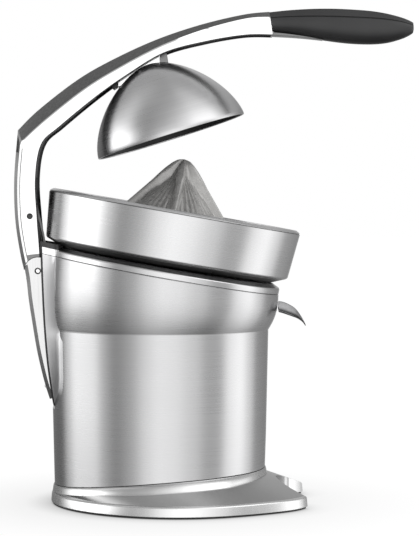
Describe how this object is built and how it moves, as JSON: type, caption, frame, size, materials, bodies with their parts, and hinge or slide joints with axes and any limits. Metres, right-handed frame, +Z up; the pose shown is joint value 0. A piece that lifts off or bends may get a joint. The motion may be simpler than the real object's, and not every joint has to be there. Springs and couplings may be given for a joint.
{
  "type": "citrus press juicer",
  "caption": "Lever citrus press: a domed press on a pivoting arm closes over a driven reamer in a tilted juice bowl on a round motor body with a front spout.",
  "frame": {"origin": "centre of the bounding box's underside, where the feet stand", "axes": "+Z up, +X towards the spout and the handle's tip, +Y to the left as seen from behind the handle looking forwards"},
  "size_m": [0.3512, 0.2234, 0.434],
  "materials": {
    "brushed": "brushed round the axis",
    "polished": "polished casting",
    "steel": "plain",
    "soft_black": "soft touch",
    "black": "satin",
    "grey": "satin",
    "rubber": "matt",
    "white": "acetal",
    "board": "solder mask"
  },
  "bodies": {
    "root": {"housing_shell": "brushed", "hinge_pod": "brushed", "top_collar": "polished", "drive_deck": "black", "base_casting": "polished", "cord_gland": "rubber", "bottom_plate": "black", "bowl_skirt": "brushed", "juice_pan": "steel", "filter_basket": "steel", "idler_pin": "steel", "gearbox_case": "black", "motor_can": "steel", "motor_end_bell": "black", "motor_plate": "steel", "spindle_bushing": "steel", "start_switch": "black", "control_board": "board", "juice_duct": "black", "spout_pin": "steel", "link_pivot_pin": "steel", "foot_1": "rubber", "base_screw_1": "steel", "foot_2": "rubber", "base_screw_2": "steel", "foot_3": "rubber", "base_screw_3": "steel", "foot_4": "rubber", "base_screw_4": "steel"},
    "cone_carrier": {"thrust_collar": "steel"},
    "reamer_drive": {"reamer": "grey", "spindle": "steel"},
    "output_wheel": {"output_gear": "white"},
    "idler": {"idler_gear": "white"},
    "rotor": {"motor_rotor": "steel", "motor_pinion": "steel"},
    "spout_flap": {"spout": "polished"},
    "link": {"rear_link": "polished"},
    "arm": {"lever_arm": "polished", "arm_knuckle": "steel", "arm_cross_pin": "steel", "arm_cover_rear": "black", "arm_cover_front": "black", "handle_grip": "soft_black", "grip_core": "steel", "arm_pivot_pin": "steel", "dome_pivot_pin": "steel"},
    "dome": {"press_dome": "brushed", "dome_liner": "grey", "dome_saddle": "steel"}
  },
  "joints": [
    {"name": "link_swing", "type": "hinge", "parent": "root", "child": "link", "pos_m": [-0.145, 0, 0.104], "axis": [0, 1, 0], "range_deg": [-20.69, 0]},
    {"name": "arm_press", "type": "hinge", "parent": "link", "child": "arm", "pos_m": [-0.1529, 0, 0.2039], "axis": [0, 1, 0], "range_deg": [0, 48]},
    {"name": "dome_swivel", "type": "hinge", "parent": "arm", "child": "dome", "pos_m": [-0.0695, 0, 0.386], "axis": [0, 1, 0], "range_deg": [-3, 3]},
    {"name": "cone_press", "type": "slide", "parent": "root", "child": "cone_carrier", "axis": [0.1736, 0, 0.9848], "range_m": [-0.003, 0], "stiffness_N_per_m": 2500, "springref_m": 0.004},
    {"name": "reamer_spin", "type": "hinge", "parent": "cone_carrier", "child": "reamer_drive", "pos_m": [-0.0339, 0, 0.2552], "axis": [0.1736, 0, 0.9848], "continuous": true},
    {"name": "output_spin", "type": "hinge", "parent": "root", "child": "output_wheel", "pos_m": [-0.04605, 0, 0.18626], "axis": [0.1736, 0, 0.9848], "continuous": true},
    {"name": "idler_spin", "type": "hinge", "parent": "root", "child": "idler", "pos_m": [-0.08336, 0, 0.18776], "axis": [0.1736, 0, 0.9848], "continuous": true},
    {"name": "motor_spin", "type": "hinge", "parent": "root", "child": "rotor", "pos_m": [-0.05126, 0, 0.15672], "axis": [0.1736, 0, 0.9848], "continuous": true},
    {"name": "spout_flip", "type": "hinge", "parent": "root", "child": "spout_flap", "pos_m": [0.0615, 0, 0.1705], "axis": [0, -1, 0], "range_deg": [0, 30]}
  ],
  "couplings": [
    {"joint": "link_swing", "follows": "arm_press", "ratio": -0.43},
    {"joint": "output_spin", "follows": "reamer_spin", "ratio": 1},
    {"joint": "idler_spin", "follows": "reamer_spin", "ratio": -3.1111},
    {"joint": "motor_spin", "follows": "reamer_spin", "ratio": 9.679}
  ]
}
